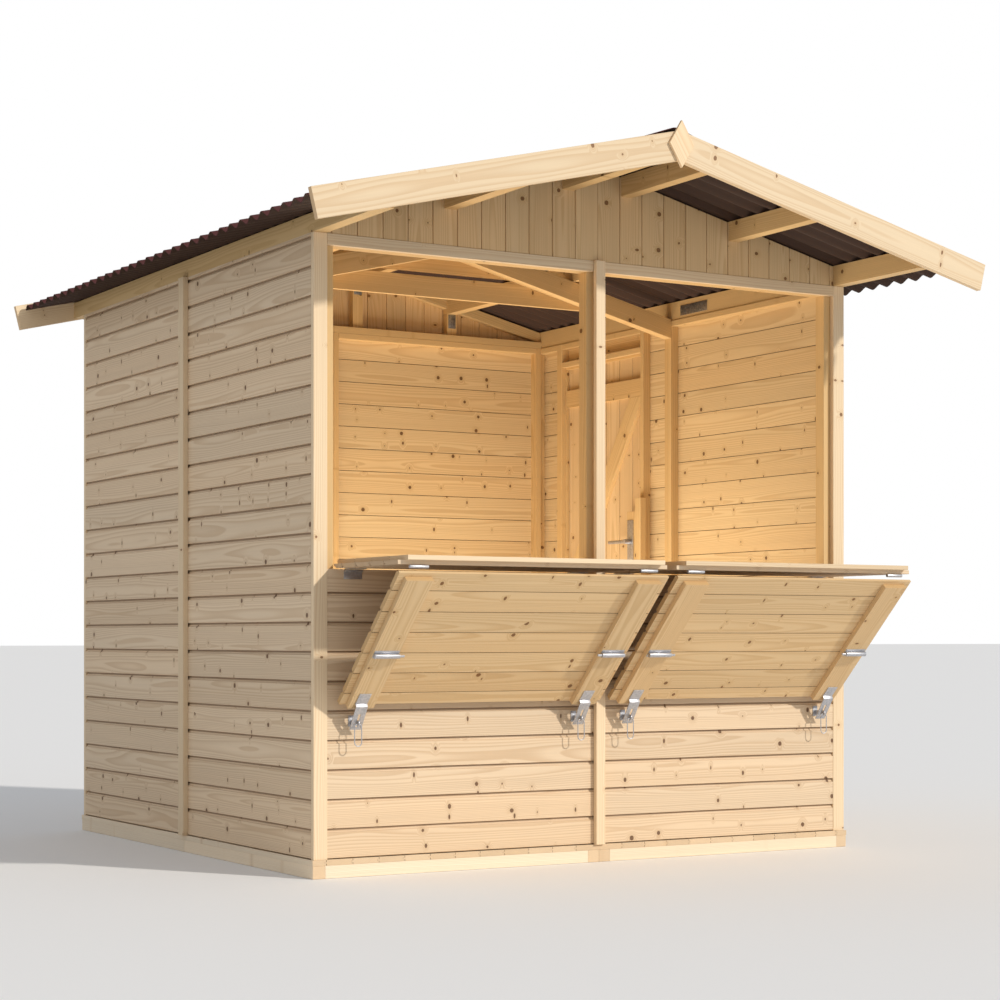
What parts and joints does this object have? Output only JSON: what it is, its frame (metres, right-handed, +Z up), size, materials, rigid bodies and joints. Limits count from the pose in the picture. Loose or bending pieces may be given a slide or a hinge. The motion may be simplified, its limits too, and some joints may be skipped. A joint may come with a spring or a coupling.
{
  "type": "wooden market hut",
  "caption": "Small timber market hut with a gabled corrugated roof, two folded-out serving hatches and a hinged side door.",
  "frame": {"origin": "centre of the walls' plan on the underside of the base", "axes": "+Z up, X along the serving front, the front faces -Y"},
  "size_m": [2.524, 2.612, 2.3284],
  "materials": {
    "spruce_outside": "planed softwood boards, oiled",
    "spruce_frame": "sawn softwood studs",
    "spruce_trim": "planed softwood",
    "base_timber": "pressure treated softwood",
    "roof_sheet": "bitumen fibre sheet, matt",
    "zinc_steel": "zinc plated"
  },
  "bodies": {
    "hut": {"bearers": "base_timber", "base_rails": "base_timber", "floor": "base_timber", "left_wall": "spruce_outside", "left_frame": "spruce_frame", "right_wall": "spruce_outside", "right_frame": "spruce_frame", "back_wall": "spruce_outside", "back_frame": "spruce_frame", "front_wall": "spruce_outside", "front_frame": "spruce_frame", "corner_trims": "spruce_trim", "cover_battens": "spruce_trim", "header_trims": "spruce_trim", "front_gable": "spruce_outside", "back_gable": "spruce_outside", "gable_posts": "spruce_frame", "post_plates": "zinc_steel", "purlins": "spruce_frame", "splice_plates": "zinc_steel", "rafters": "spruce_frame", "collar_tie": "spruce_frame", "roof_left": "roof_sheet", "roof_right": "roof_sheet", "ridge_cap": "roof_sheet", "bargeboards": "spruce_trim", "finials": "spruce_trim", "counter_boards": "spruce_outside", "counter_tops": "spruce_trim", "hatch_leaves": "spruce_outside", "hatch_battens": "spruce_trim", "wall_hinges": "zinc_steel", "fold_hinges": "zinc_steel", "barrel_bolts": "zinc_steel", "hasps": "zinc_steel", "staples": "zinc_steel", "spring_clips": "zinc_steel", "keeper_block": "spruce_frame", "door_stops": "spruce_frame", "hinge_pins": "zinc_steel"},
    "door": {"door_boards": "spruce_outside", "door_ledges": "spruce_frame", "door_braces": "spruce_frame", "door_straps": "zinc_steel", "lock_plates": "zinc_steel"},
    "lever": {"lever_handle": "zinc_steel"}
  },
  "joints": [
    {"name": "door_hinge", "type": "hinge", "parent": "hut", "child": "door", "pos_m": [1.038, 0.768, 0.96], "axis": [0, 0, 1], "range_deg": [0, 110]},
    {"name": "lever_turn", "type": "hinge", "parent": "door", "child": "lever", "pos_m": [1, 0.25, 1.115], "axis": [-1, 0, 0], "range_deg": [0, 40], "stiffness_Nm_per_rad": 0.6, "springref_deg": -34.38}
  ]
}
